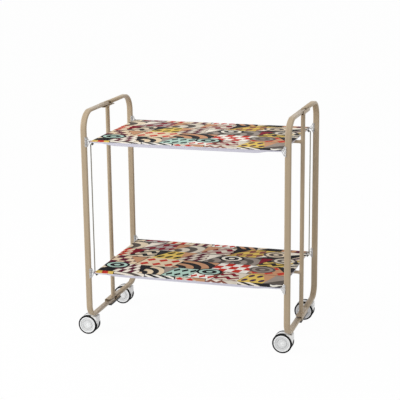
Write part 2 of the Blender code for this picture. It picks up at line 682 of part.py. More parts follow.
trays = {
    "upper": (UPPER_TRAY_TOP, UPPER_BAR_Z, UPPER_LIP_DEPTH),
    "lower": (LOWER_TRAY_TOP, LOWER_BAR_Z, LOWER_LIP_DEPTH),
}
for tray_name, (tray_top, bar_z, tray_lip) in trays.items():
    cross_bar(tray_name, bar_z, trolley, lacquer)
    tilt_axis = make_empty(f"{tray_name}_tray_axis", (0.0, 0.0, bar_z), trolley)
    tray_board(tray_name, tray_lip, tilt_axis, laminate)
    rod_eye(tray_name, "left", "front", tilt_axis, black_plastic)
    rod_eye(tray_name, "right", "rear", tilt_axis, black_plastic)
    if tray_name == "upper":
        tie_rod("left", "front", tilt_axis, rod_steel)
        tie_rod("right", "rear", tilt_axis, rod_steel)
    for side_name in SIDES:
        hinge_clip(tray_name, side_name, tilt_axis, clip_plastic)
        for end_name in ENDS:
            corner_clip(tray_name, tray_top, side_name, end_name, trolley, clip_plastic)
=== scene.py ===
import math

import bmesh
import bpy
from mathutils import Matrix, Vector


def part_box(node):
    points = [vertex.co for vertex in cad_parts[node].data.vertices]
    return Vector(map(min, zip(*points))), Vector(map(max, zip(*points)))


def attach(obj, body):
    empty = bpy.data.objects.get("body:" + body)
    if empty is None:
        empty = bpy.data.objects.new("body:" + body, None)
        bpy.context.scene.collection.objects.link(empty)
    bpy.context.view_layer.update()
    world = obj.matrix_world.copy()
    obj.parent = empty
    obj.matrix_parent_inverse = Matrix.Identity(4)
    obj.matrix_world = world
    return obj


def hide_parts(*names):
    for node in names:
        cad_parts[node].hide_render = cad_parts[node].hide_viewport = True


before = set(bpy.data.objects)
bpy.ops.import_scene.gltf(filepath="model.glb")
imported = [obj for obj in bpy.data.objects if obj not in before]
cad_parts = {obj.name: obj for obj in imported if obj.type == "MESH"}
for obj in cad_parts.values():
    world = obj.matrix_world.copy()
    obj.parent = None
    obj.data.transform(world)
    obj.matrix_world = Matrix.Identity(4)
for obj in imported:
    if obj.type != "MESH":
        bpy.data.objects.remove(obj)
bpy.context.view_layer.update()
bpy.ops.object.select_all(action="DESELECT")

# The side loops are four C-shaped half frames of flat oval steel tube, bent round a former and lacquered
# beige. Each tube is drawn from its end in the top bracket, round both corners, to its end in the bottom one.
tube_low, tube_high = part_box("front_left_half_frame")
tube_thickness = 0.0095
tube_wall = 0.0012
tube_end_radius = 0.01045
tube_sides = 28
tube_flat_cuts = 6
top_bend = 0.0550
bottom_bend = 0.0400
bend_steps = 14
running_gap = 0.0003
tolerance = 0.0001
loop_x = (tube_low.x + tube_high.x) / 2
corner_post_y = tube_low.y + tube_thickness / 2
top_rail_z = tube_high.z - tube_thickness / 2
bottom_rail_z = tube_low.z + tube_thickness / 2
right_post_low, right_post_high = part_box("right_middle_post")
trolley_middle = Vector(((loop_x + (right_post_low.x + right_post_high.x) / 2) / 2, 0, 0))


def paint(red, green, blue):
    """An sRGB colour from 0 to 255 as the linear colour that a shader reads."""
    shares = [channel / 255 for channel in (red, green, blue)]
    return [c / 12.92 if c <= 0.04045 else ((c + 0.055) / 1.055) ** 2.4 for c in shares] + [1.0]


def make_satin_skin():
    """A node group that mottles a colour a little and gives a fine grain, for lacquer, plastic and rubber."""
    group = bpy.data.node_groups.new("satin skin", "ShaderNodeTree")
    for name, kind in (("Colour", "Color"), ("Mottle", "Float"), ("Patch size", "Float"),
                       ("Roughness", "Float"), ("Grain", "Float")):
        group.interface.new_socket(name, in_out="INPUT", socket_type=f"NodeSocket{kind}")
    for name, kind in (("Colour", "Color"), ("Roughness", "Float"), ("Normal", "Vector")):
        group.interface.new_socket(name, in_out="OUTPUT", socket_type=f"NodeSocket{kind}")
    nodes, link = group.nodes, group.links.new
    roughness_swing, grain_scale, grain_depth = 0.12, 900.0, 0.0002
    given = nodes.new("NodeGroupInput")
    result = nodes.new("NodeGroupOutput")
    place = nodes.new("ShaderNodeTexCoord")
    clouds = nodes.new("ShaderNodeTexNoise")
    clouds.inputs["Detail"].default_value = 3.0
    link(place.outputs["Object"], clouds.inputs["Vector"])
    link(given.outputs["Patch size"], clouds.inputs["Scale"])
    swing = nodes.new("ShaderNodeMath")
    swing.operation = "MULTIPLY_ADD"
    swing.inputs[1].default_value = 2.0
    swing.inputs[2].default_value = -1.0
    link(clouds.outputs["Fac"], swing.inputs[0])
    strength = nodes.new("ShaderNodeMath")
    strength.operation = "MULTIPLY_ADD"
    strength.inputs[2].default_value = 1.0
    link(swing.outputs[0], strength.inputs[0])
    link(given.outputs["Mottle"], strength.inputs[1])
    shade = nodes.new("ShaderNodeVectorMath")
    shade.operation = "SCALE"
    link(given.outputs["Colour"], shade.inputs[0])
    link(strength.outputs[0], shade.inputs["Scale"])
    link(shade.outputs[0], result.inputs["Colour"])
    polish = nodes.new("ShaderNodeMath")
    polish.operation = "MULTIPLY_ADD"
    polish.inputs[1].default_value = roughness_swing
    link(swing.outputs[0], polish.inputs[0])
    link(given.outputs["Roughness"], polish.inputs[2])
    link(polish.outputs[0], result.inputs["Roughness"])
    grain = nodes.new("ShaderNodeTexNoise")
    grain.inputs["Scale"].default_value = grain_scale
    link(place.outputs["Object"], grain.inputs["Vector"])
    bump = nodes.new("ShaderNodeBump")
    bump.inputs["Distance"].default_value = grain_depth
    link(given.outputs["Grain"], bump.inputs["Strength"])
    link(grain.outputs["Fac"], bump.inputs["Height"])
    link(bump.outputs["Normal"], result.inputs["Normal"])
    return group


satin_skin = make_satin_skin()


def skinned_material(name, colour, mottle, patches, roughness, grain):
    """A Principled material whose colour, roughness and grain come through the satin skin."""
    material = bpy.data.materials.new(name)
    material.use_nodes = True
    nodes, link = material.node_tree.nodes, material.node_tree.links.new
    skin = nodes.new("ShaderNodeGroup")
    skin.node_tree = satin_skin
    skin.inputs["Colour"].default_value = colour
    skin.inputs["Mottle"].default_value = mottle
    skin.inputs["Patch size"].default_value = patches
    skin.inputs["Roughness"].default_value = roughness
    skin.inputs["Grain"].default_value = grain
    shader = nodes["Principled BSDF"]
    link(skin.outputs["Colour"], shader.inputs["Base Color"])
    link(skin.outputs["Roughness"], shader.inputs["Roughness"])
    link(skin.outputs["Normal"], shader.inputs["Normal"])
    return material


beige_lacquer = skinned_material("beige lacquer", paint(176, 157, 130), 0.05, 14.0, 0.40, 0.10)
beige_lacquer.node_tree.nodes["Principled BSDF"].inputs["Specular IOR Level"].default_value = 0.35
beige_lacquer.node_tree.nodes["Principled BSDF"].inputs["Coat Weight"].default_value = 0.10
beige_lacquer.node_tree.nodes["Principled BSDF"].inputs["Coat Roughness"].default_value = 0.30


def pick(piece):
    """Selects one piece alone and makes it active."""
    bpy.ops.object.select_all(action="DESELECT")
    piece.select_set(True)
    bpy.context.view_layer.objects.active = piece


def edit(piece):
    """Opens a piece in edit mode with all of it selected."""
    pick(piece)
    bpy.ops.object.mode_set(mode="EDIT")
    bpy.ops.mesh.select_mode(type="VERT")
    bpy.ops.mesh.select_all(action="SELECT")


def close(piece, smooth_deg=40.0):
    """Leaves edit mode, puts the piece's place in its mesh and shades its round faces smooth."""
    bpy.ops.object.mode_set(mode="OBJECT")
    pick(piece)
    bpy.ops.object.transform_apply(location=True, rotation=True, scale=True)
    bpy.ops.object.shade_smooth_by_angle(angle=math.radians(smooth_deg))


def apply_modifier(piece, kind, **settings):
    """Adds a modifier with these settings and applies it."""
    pick(piece)
    modifier = piece.modifiers.new(kind.lower(), kind)
    for setting, value in settings.items():
        setattr(modifier, setting, value)
    bpy.ops.object.modifier_apply(modifier=modifier.name)


def mount_piece(piece, name, finish, slot_name, body, *nodes):
    """Names a piece, gives it its finish, hangs it on its body and lets it stand for its CAD nodes."""
    piece.name = name
    piece.data.name = name
    piece.data.materials.clear()
    piece.data.materials.append(finish)
    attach(piece, body)
    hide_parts(*nodes)
    return piece


def mirrored(piece, across=False, behind=False):
    """A copy of a piece with its own mesh, mirrored across the trolley or behind it."""
    pick(piece)
    bpy.ops.object.duplicate(linked=False)
    copy = bpy.context.object
    edit(copy)
    factors = (-1 if across else 1, -1 if behind else 1, 1)
    bpy.ops.transform.resize(value=factors, center_override=trolley_middle)
    if across != behind:
        bpy.ops.mesh.flip_normals()
    bpy.ops.object.mode_set(mode="OBJECT")
    return copy


def pick_parts(piece, kind, wanted):
    """Selects the vertices, edges or faces of an open piece that pass a test, and no others."""
    mesh = bmesh.from_edit_mesh(piece.data)
    bpy.ops.mesh.select_all(action="DESELECT")
    bpy.ops.mesh.select_mode(type={"verts": "VERT", "edges": "EDGE", "faces": "FACE"}[kind])
    for part in getattr(mesh, kind):
        part.select_set(wanted(part))
    mesh.select_flush_mode()
    bmesh.update_edit_mesh(piece.data)


def start_flat_oval(place):
    """Opens a ring with the tube's flat oval outline, square to the Y axis."""
    bpy.ops.object.select_all(action="DESELECT")
    bpy.ops.mesh.primitive_circle_add(vertices=tube_sides, radius=tube_thickness / 2, location=place,
                                      rotation=(math.pi / 2, 0, 0))
    ring = bpy.context.object
    edit(ring)
    bpy.ops.transform.rotate(value=math.pi / tube_sides, orient_axis="Y", center_override=place)
    half_flat = (tube_high.x - tube_low.x - tube_thickness) / 2
    for side in (-1, 1):
        pick_parts(ring, "verts", lambda vertex: vertex.co.x * side > 0)
        bpy.ops.transform.translate(value=(side * half_flat, 0, 0))
    pick_parts(ring, "edges", lambda edge: edge.calc_length() > half_flat)
    bpy.ops.mesh.subdivide(number_cuts=tube_flat_cuts)
    bpy.ops.mesh.select_mode(type="VERT")
    bpy.ops.mesh.select_all(action="SELECT")
    return ring


def draw_on(step):
    """Carries the open ring on in a straight line."""
    bpy.ops.mesh.extrude_region_move(TRANSFORM_OT_translate={"value": step})


def bend_round(centre, angle, axis):
    """Carries the open ring round a bend."""
    bpy.ops.mesh.spin(steps=bend_steps, angle=angle, center=centre, axis=axis)


rail_run = tube_high.y - corner_post_y
tube = start_flat_oval((loop_x, tube_high.y, top_rail_z))
draw_on((0, top_bend - rail_run, 0))
bend_round((loop_x, corner_post_y + top_bend, top_rail_z - top_bend), -math.pi / 2, (1, 0, 0))
draw_on((0, 0, bottom_rail_z + bottom_bend + top_bend - top_rail_z))
bend_round((loop_x, corner_post_y + bottom_bend, bottom_rail_z + bottom_bend), -math.pi / 2, (1, 0, 0))
draw_on((0, rail_run - bottom_bend, 0))
bpy.ops.mesh.select_all(action="SELECT")
bpy.ops.mesh.normals_make_consistent(inside=False)
close(tube)
for vertex in tube.data.vertices:
    if vertex.co.y > tube_high.y - tolerance:
        off_middle = vertex.co.x - loop_x
        vertex.co.y += math.sqrt(tube_end_radius ** 2 - off_middle ** 2) - tube_end_radius
apply_modifier(tube, "SOLIDIFY", thickness=tube_wall, offset=-1)
half_frames = {
    "front_left": tube,
    "rear_left": mirrored(tube, behind=True),
    "front_right": mirrored(tube, across=True),
    "rear_right": mirrored(tube, across=True, behind=True),
}
for corner, piece in half_frames.items():
    mount_piece(piece, f"{corner}_loop_tube", beige_lacquer, "beige_lacquer", "frame", f"{corner}_half_frame")

# A round post stands in the middle of each loop, welded between its brackets, and two round bars are welded
# between the posts. All are lacquered steel tube, and each tray turns on its bar.
left_post_low, left_post_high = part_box("left_middle_post")
post_radius = (left_post_high.x - left_post_low.x) / 2
weld_swell = ((0.0048, 1.0), (0.0028, 1.05), (0.0013, 1.15), (0.0, 1.32))
weld_reach = 0.0060
bar_sides = 40


def welded_bar(radius, length, place, turn, along):
    """A round bar that swells at both ends, where a weld bead joins it to the next piece."""
    bpy.ops.object.select_all(action="DESELECT")
    bpy.ops.mesh.primitive_cylinder_add(vertices=bar_sides, radius=radius, depth=length, location=place,
                                        rotation=turn)
    bar = bpy.context.object
    edit(bar)
    for side in (-1, 1):
        for from_end, swell in weld_swell:
            cut = place + along * side * (length / 2 - from_end)
            if from_end:
                bpy.ops.mesh.select_all(action="SELECT")
                bpy.ops.mesh.bisect(plane_co=cut, plane_no=along)
            else:
                pick_parts(bar, "verts", lambda vertex: vertex.co.z * side > length / 2 - tolerance)
            bpy.ops.transform.resize(value=(swell, swell, swell), center_override=cut)
    pick_parts(bar, "faces", lambda face: len(face.verts) > 4)
    bpy.ops.mesh.poke()
    close(bar)
    return bar


post_height = left_post_high.z - left_post_low.z
post_place = (left_post_low + left_post_high) / 2
post = welded_bar(post_radius, post_height, post_place, (0, 0, 0), Vector((0, 0, 1)))
right_post = mirrored(post, across=True)
mount_piece(post, "left_post", beige_lacquer, "beige_lacquer", "frame", "left_middle_post")
mount_piece(right_post, "right_post", beige_lacquer, "beige_lacquer", "frame", "right_middle_post")

for level in ("upper", "lower"):
    bar_low, bar_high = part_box(f"{level}_cross_bar")
    bar_radius = (bar_high.z - bar_low.z) / 2
    bar_length = bar_high.x - bar_low.x
    bar = welded_bar(bar_radius, bar_length, (bar_low + bar_high) / 2, (0, math.pi / 2, 0), Vector((1, 0, 0)))
    for vertex in bar.data.vertices:
        side = 1 if vertex.co.x > trolley_middle.x else -1
        if bar_length / 2 - abs(vertex.co.x - trolley_middle.x) < weld_reach:
            vertex.co.x += side * (post_radius - math.sqrt(post_radius ** 2 - vertex.co.y ** 2))
    mount_piece(bar, f"{level}_tilt_bar", beige_lacquer, "beige_lacquer", "frame", f"{level}_cross_bar")

# Each bracket is folded from steel sheet, open inward, and takes the ends of two half frames on two rivets.
# Collars keep the flange on the post's side a little off the tubes. The bottom ones have a second flange.
bracket_sheet = 0.0015
bracket_spacer = 0.0025
bracket_fold = 0.0030
bracket_tip = 0.0055
bracket_edge_round = 0.0003
web_past_middle = 0.0030
rivet_head = 0.0012
rivet_radius = 0.0050
pin_radius = 0.0030
pin_from_end = 0.0300
tube_face = tube_thickness / 2 + running_gap
flange_face = tube_face + bracket_sheet
post_flange_face = flange_face + bracket_spacer
dome_shares = ((1.0, 0.0), (1.0, 0.3), (0.93, 0.66), (0.74, 0.92), (0.40, 1.0), (0.0, 1.0))
seed_size = 0.001
merge_distance = 0.000002


def turned(outline, foot, axis, steps=48):
    """A turned piece: its half outline, as (radius, height), is drawn and spun once round its axis."""
    across = Vector((0, 0, 1)) if axis.z == 0 else Vector((1, 0, 0))
    points = [foot + across * radius + axis * height for radius, height in outline]
    bpy.ops.object.select_all(action="DESELECT")
    bpy.ops.mesh.primitive_plane_add(size=seed_size, location=points[0])
    piece = bpy.context.object
    edit(piece)
    bpy.ops.mesh.merge(type="CENTER")
    for here, there in zip(points, points[1:]):
        draw_on(there - here)
    bpy.ops.mesh.select_all(action="SELECT")
    bpy.ops.mesh.spin(steps=steps, angle=2 * math.pi, center=foot, axis=axis)
    bpy.ops.mesh.select_all(action="SELECT")
    bpy.ops.mesh.remove_doubles(threshold=merge_distance)
    bpy.ops.mesh.normals_make_consistent(inside=False)
    close(piece, 35)
    return piece


def joined(piece, *others):
    """Joins other pieces into the first."""
    pick(piece)
    for other in others:
        other.select_set(True)
    bpy.ops.object.join()
    return piece


def folded_bracket(level, rail_z, toward_post, web_end, head_foot):
    """The left bracket of one rail: faces come off a block, and the rest is folded sheet with two rivets."""
    low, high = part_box(f"left_{level}_bracket")
    ends_z = sorted((rail_z - toward_post * web_end, rail_z + toward_post * post_flange_face))
    middle = Vector(((low.x + high.x) / 2, 0, sum(ends_z) / 2))
    bpy.ops.object.select_all(action="DESELECT")
    bpy.ops.mesh.primitive_cube_add(size=1, location=middle)
    sheet = bpy.context.object
    edit(sheet)
    size = (high.x - low.x, high.y - low.y, ends_z[1] - ends_z[0])
    bpy.ops.transform.resize(value=size, center_override=middle)
    pick_parts(sheet, "faces", lambda face: abs(face.normal.y) > 0.5 or face.normal.x > 0.5)
    bpy.ops.mesh.delete(type="FACE")
    if web_end < tube_face:
        pick_parts(sheet, "faces", lambda face: face.normal.z * toward_post < -0.5)
        bpy.ops.mesh.delete(type="FACE")
    pick_parts(sheet, "verts", lambda vertex: len(vertex.link_faces) == 1)
    bpy.ops.mesh.bevel(offset=bracket_tip, segments=6, affect="VERTICES")
    pick_parts(sheet, "edges", lambda edge: len(edge.link_faces) == 2)
    bpy.ops.mesh.bevel(offset=bracket_fold, segments=5, affect="EDGES")
    close(sheet)
    apply_modifier(sheet, "SOLIDIFY", thickness=bracket_sheet, offset=-1, use_even_offset=True)
    apply_modifier(sheet, "BEVEL", width=bracket_edge_round, segments=2, limit_method="ANGLE",
                   angle_limit=math.radians(60))
    outline = [(rivet_radius * wide, -head_foot - rivet_head * tall) for wide, tall in reversed(dome_shares)]
    outline += [(pin_radius, -head_foot), (pin_radius, tube_face), (rivet_radius, tube_face)]
    outline += [(rivet_radius * wide, post_flange_face + rivet_head * tall) for wide, tall in dome_shares]
    rivets = []
    for pin_y in (low.y + pin_from_end, high.y - pin_from_end):
        foot = Vector((loop_x, pin_y, rail_z))
        rivets.append(turned(outline, foot, Vector((0, 0, toward_post)), 32))
    return joined(sheet, *rivets)


bracket_kinds = (
    ("top", top_rail_z, -1, web_past_middle, tube_face),
    ("bottom", bottom_rail_z, 1, flange_face, flange_face),
)
for level, rail_z, toward_post, web_end, head_foot in bracket_kinds:
    bracket = folded_bracket(level, rail_z, toward_post, web_end, head_foot)
    for side, piece in (("right", mirrored(bracket, across=True)), ("left", bracket)):
        mount_piece(piece, f"{side}_{level}_folded_bracket", beige_lacquer, "beige_lacquer", "frame",
                    f"{side}_{level}_bracket")

# A strip of black plastic with rounded edges lies under each bottom bracket and is about as wide as the rail.
# It and the small moulded pieces that follow are drawn as their CAD solids with softened edges.
pad_edge_round = 0.0008
cad_merge_distance = 0.00001
black_plastic = skinned_material("black plastic", paint(30, 29, 28), 0.08, 40.0, 0.55, 0.25)


def softened_copy(node, width, segments=2):
    """A copy of a CAD solid with its doubles merged and its sharp edges rounded."""
    source = bpy.data.objects[node]
    copy = bpy.data.objects.new(node + "_soft", source.data.copy())
    bpy.context.scene.collection.objects.link(copy)
    edit(copy)
    bpy.ops.mesh.remove_doubles(threshold=cad_merge_distance)
    bpy.ops.mesh.dissolve_limited(angle_limit=math.radians(2))
    close(copy, 30)
    apply_modifier(copy, "BEVEL", width=width, segments=segments, limit_method="ANGLE",
                   angle_limit=math.radians(35))
    return copy


for side in ("left", "right"):
    pad = softened_copy(f"{side}_bottom_pad", pad_edge_round, 3)
    mount_piece(pad, f"{side}_rest_strip", black_plastic, "black_plastic", "frame", f"{side}_bottom_pad")

# The corner clips are moulded in clear plastic that has gone milky. Each is snapped on a corner post, and its
# ribs run to a tongue beside the tray's end.
small_edge_round = 0.0003
milky_plastic = skinned_material("milky plastic", paint(240, 240, 240), 0.03, 60.0, 0.22, 0.08)
milky_plastic.node_tree.nodes["Principled BSDF"].inputs["Transmission Weight"].default_value = 0.55
milky_plastic.node_tree.nodes["Principled BSDF"].inputs["IOR"].default_value = 1.42
for level in ("upper", "lower"):
    for corner in half_frames:
        clip = softened_copy(f"{level}_{corner}_corner_clip", small_edge_round)
        mount_piece(clip, f"{level}_{corner}_ribbed_clip", milky_plastic, "clear_plastic", "frame",
                    f"{level}_{corner}_corner_clip")

# The trays are laminate boards with a printed top, a pale underside and pale edging that hangs as a lip along
# the front and the rear and runs out before the ends. The print is a generic patchwork of small patterns.
board_thickness = 0.0040
board_corner = 0.0120
board_edge_round = 0.0010
lip_thickness = 0.0030
lip_edge_round = 0.0002
lip_least_drop = 0.0005
lip_lengths = 40
lip_blank = 1.0
lip_taper_start = 0.036
lip_taper_length = 0.045
pale_edging = skinned_material("pale edging", paint(204, 202, 214), 0.03, 30.0, 0.40, 0.10)
dark_cloths = (
    (30, 28, 32), (92, 18, 46), (196, 52, 38), (24, 22, 26), (64, 34, 70), (138, 84, 70), (128, 22, 40),
    (34, 33, 36), (92, 84, 78), (26, 25, 28),
)
light_cloths = (
    (232, 214, 186), (246, 241, 230), (178, 208, 194), (230, 208, 176), (184, 174, 168), (198, 148, 112),
    (243, 234, 218), (220, 210, 192), (224, 192, 96), (156, 144, 134),
)


class PatternNodes:
    """Short calls that add maths nodes to one node tree."""

    def __init__(self, tree):
        self.nodes = tree.nodes
        self.link = tree.links.new

    def maths(self, operation, first, second=0.0, third=0.0):
        node = self.nodes.new("ShaderNodeMath")
        node.operation = operation
        for socket, value in zip(node.inputs, (first, second, third)):
            if isinstance(value, bpy.types.NodeSocket):
                self.link(value, socket)
            else:
                socket.default_value = value
        return node.outputs[0]

    def pair(self, across, along, third=0.0):
        node = self.nodes.new("ShaderNodeCombineXYZ")
        for socket, value in zip(node.inputs, (across, along, third)):
            if isinstance(value, bpy.types.NodeSocket):
                self.link(value, socket)
            else:
                socket.default_value = value
        return node.outputs[0]

    def chance(self, vector):
        node = self.nodes.new("ShaderNodeTexWhiteNoise")
        node.noise_dimensions = "3D"
        self.link(vector, node.inputs["Vector"])
        split = self.nodes.new("ShaderNodeSeparateColor")
        self.link(node.outputs["Color"], split.inputs[0])
        return node.outputs["Value"], split.outputs[0], split.outputs[1], split.outputs[2]

    def blend(self, share, first, second):
        node = self.nodes.new("ShaderNodeMix")
        node.data_type = "RGBA"
        self.link(share, node.inputs["Factor"])
        self.link(first, node.inputs["A"])
        self.link(second, node.inputs["B"])
        return node.outputs["Result"]

    def cloth_colour(self, share, cloths):
        ramp = self.nodes.new("ShaderNodeValToRGB")
        ramp.color_ramp.interpolation = "CONSTANT"
        stops = ramp.color_ramp.elements
        while len(stops) < len(cloths):
            stops.new(0.5)
        for index, colour in enumerate(cloths):
            stops[index].position = index / len(cloths)
            stops[index].color = paint(*colour)
        self.link(share, ramp.inputs["Fac"])
        return ramp.outputs["Color"]


def patchwork_print():
    """A printed laminate: rows of patches, each with one of several small patterns, and round medallions."""
    material = bpy.data.materials.new("patchwork print")
    material.use_nodes = True
    tree = material.node_tree
    make = PatternNodes(tree)
    maths = make.maths
    place = tree.nodes.new("ShaderNodeTexCoord")
    split = tree.nodes.new("ShaderNodeSeparateXYZ")
    tree.links.new(place.outputs["Object"], split.inputs[0])
    x, y = split.outputs[0], split.outputs[1]
    row_depth, patch_width, row_start = 0.086, 0.104, 0.517
    least_stretch, stretch_range, shift_range, lean_range = 0.75, 0.5, 0.3, 1.5
    stripes_per_patch, chevrons_per_patch, waves_per_patch, arches_per_patch = 2.5, 2.0, 2.5, 2.6
    folds_across, folds_along, checks_across, checks_along = 3.0, 2.0, 5.0, 3.0
    lozenge_size, dot_size, two_turns, sway_depth = 0.38, 0.09, 12.57, 0.22
    accent_share, accent_slope, accent_start = 0.5, 0.6, 1.1
    seam_share, seam_across, seam_along = 0.65, 0.478, 0.472
    spot_scale, spot_spread, spot_squash = 6.4, 0.72, 1.25
    medallion_radius, medallion_share, ring_count, ring_split = 0.27, 0.45, 6.6, 0.42
    band = maths("DIVIDE", maths("ADD", y, row_start), row_depth)
    row = maths("FLOOR", band)
    row_shift, row_stretch, row_lean = make.chance(make.pair(row, 2.0, 3.0))[1:]
    stretch = maths("ADD", maths("MULTIPLY", row_stretch, stretch_range), least_stretch)
    width = maths("MULTIPLY", stretch, patch_width)
    lean = maths("MULTIPLY", maths("SUBTRACT", maths("FRACT", band), 0.5),
                 maths("MULTIPLY", maths("SUBTRACT", row_lean, 0.5), lean_range))
    shift = maths("MULTIPLY", row_shift, shift_range)
    along = maths("ADD", maths("DIVIDE", maths("ADD", x, shift), width), lean)
    column = maths("FLOOR", along)
    u, v = maths("FRACT", along), maths("FRACT", band)
    kind, first_tone, second_tone, third_tone = make.chance(make.pair(column, row, 1.0))
    accent_chance, fourth_tone, seam_chance, swap_chance = make.chance(make.pair(row, column, 8.0))

    def wave(share):
        return maths("ABSOLUTE", maths("SUBTRACT", maths("FRACT", share), 0.5))

    fold_u = wave(maths("MULTIPLY", u, folds_across))
    fold_v = wave(maths("MULTIPLY", v, folds_along))
    diagonal = maths("MULTIPLY", maths("ADD", u, v), stripes_per_patch)
    stripes = maths("GREATER_THAN", maths("FRACT", diagonal), 0.5)
    checks = maths("MODULO", maths("ADD", maths("FLOOR", maths("MULTIPLY", u, checks_across)),
                                   maths("FLOOR", maths("MULTIPLY", v, checks_along))), 2.0)
    lozenges = maths("LESS_THAN", maths("ADD", fold_u, fold_v), lozenge_size)
    from_dot = maths("ADD", maths("POWER", fold_u, 2.0), maths("POWER", fold_v, 2.0))
    dots = maths("LESS_THAN", from_dot, dot_size)
    zigzag = maths("ADD", maths("MULTIPLY", v, chevrons_per_patch), fold_u)
    chevrons = maths("GREATER_THAN", maths("FRACT", zigzag), 0.5)
    sway = maths("MULTIPLY", maths("SINE", maths("MULTIPLY", u, two_turns)), sway_depth)
    swayed = maths("ADD", maths("MULTIPLY", v, waves_per_patch), sway)
    waves = maths("GREATER_THAN", maths("FRACT", swayed), 0.5)
    from_corner = maths("SQRT", maths("ADD", maths("POWER", u, 2.0), maths("POWER", v, 2.0)))
    arches = maths("GREATER_THAN", maths("FRACT", maths("MULTIPLY", from_corner, arches_per_patch)), 0.5)
    wedge = maths("GREATER_THAN", u, v)
    patterns = (stripes, checks, lozenges, dots, chevrons, waves, arches, wedge)
    mask = patterns[0]
    for index, pattern in enumerate(patterns[1:], start=1):
        here = maths("GREATER_THAN", kind, index / len(patterns))
        mask = maths("ADD", maths("MULTIPLY", mask, maths("SUBTRACT", 1.0, here)),
                     maths("MULTIPLY", pattern, here))
    dark = make.cloth_colour(first_tone, dark_cloths)
    light = make.cloth_colour(second_tone, light_cloths)
    colour = make.blend(mask, light, dark)
    accent = maths("MULTIPLY", maths("GREATER_THAN", accent_chance, 1 - accent_share),
                   maths("GREATER_THAN", maths("ADD", u, maths("MULTIPLY", v, accent_slope)), accent_start))
    dark_accent = make.cloth_colour(third_tone, dark_cloths)
    light_accent = make.cloth_colour(fourth_tone, light_cloths)
    accent_cloth = make.blend(maths("GREATER_THAN", swap_chance, 0.5), dark_accent, light_accent)
    colour = make.blend(accent, colour, accent_cloth)
    seam = maths("MAXIMUM", maths("GREATER_THAN", maths("ABSOLUTE", maths("SUBTRACT", u, 0.5)), seam_across),
                 maths("GREATER_THAN", maths("ABSOLUTE", maths("SUBTRACT", v, 0.5)), seam_along))
    seam = maths("MULTIPLY", seam, maths("GREATER_THAN", seam_chance, 1 - seam_share))
    ink = tree.nodes.new("ShaderNodeRGB")
    ink.outputs[0].default_value = paint(38, 36, 40)
    colour = make.blend(seam, colour, ink.outputs[0])

    spots = tree.nodes.new("ShaderNodeTexVoronoi")
    spots.voronoi_dimensions = "2D"
    spots.inputs["Scale"].default_value = spot_scale
    spots.inputs["Randomness"].default_value = spot_spread
    tree.links.new(make.pair(x, maths("MULTIPLY", y, spot_squash)), spots.inputs["Vector"])
    pick_spot = tree.nodes.new("ShaderNodeSeparateColor")
    tree.links.new(spots.outputs["Color"], pick_spot.inputs[0])
    from_spot = spots.outputs["Distance"]
    medallion = maths("MULTIPLY", maths("LESS_THAN", from_spot, medallion_radius),
                      maths("GREATER_THAN", pick_spot.outputs[0], 1 - medallion_share))
    rings = maths("GREATER_THAN", maths("FRACT", maths("MULTIPLY", from_spot, ring_count)), ring_split)
    ring_colour = make.blend(rings, make.cloth_colour(pick_spot.outputs[1], light_cloths),
                             make.cloth_colour(pick_spot.outputs[2], dark_cloths))
    colour = make.blend(medallion, colour, ring_colour)

    shader = tree.nodes["Principled BSDF"]
    shader.inputs["Specular IOR Level"].default_value = 0.01
    skin = tree.nodes.new("ShaderNodeGroup")
    skin.node_tree = satin_skin
    skin.inputs["Patch size"].default_value = 20.0
    skin.inputs["Roughness"].default_value = 0.46
    skin.inputs["Grain"].default_value = 0.06
    skin.inputs["Mottle"].default_value = 0.03
    tree.links.new(colour, skin.inputs["Colour"])
    tree.links.new(skin.outputs["Colour"], shader.inputs["Base Color"])
    tree.links.new(skin.outputs["Roughness"], shader.inputs["Roughness"])
    tree.links.new(skin.outputs["Normal"], shader.inputs["Normal"])
    return material


printed_top = patchwork_print()


def lip_drop(from_end, depth):
    """How far the lip hangs at a distance from the tray's end."""
    share = min(max((from_end - lip_taper_start) / lip_taper_length, 0.0), 1.0)
    return lip_least_drop + (depth - lip_least_drop) * share * share * (3 - 2 * share)


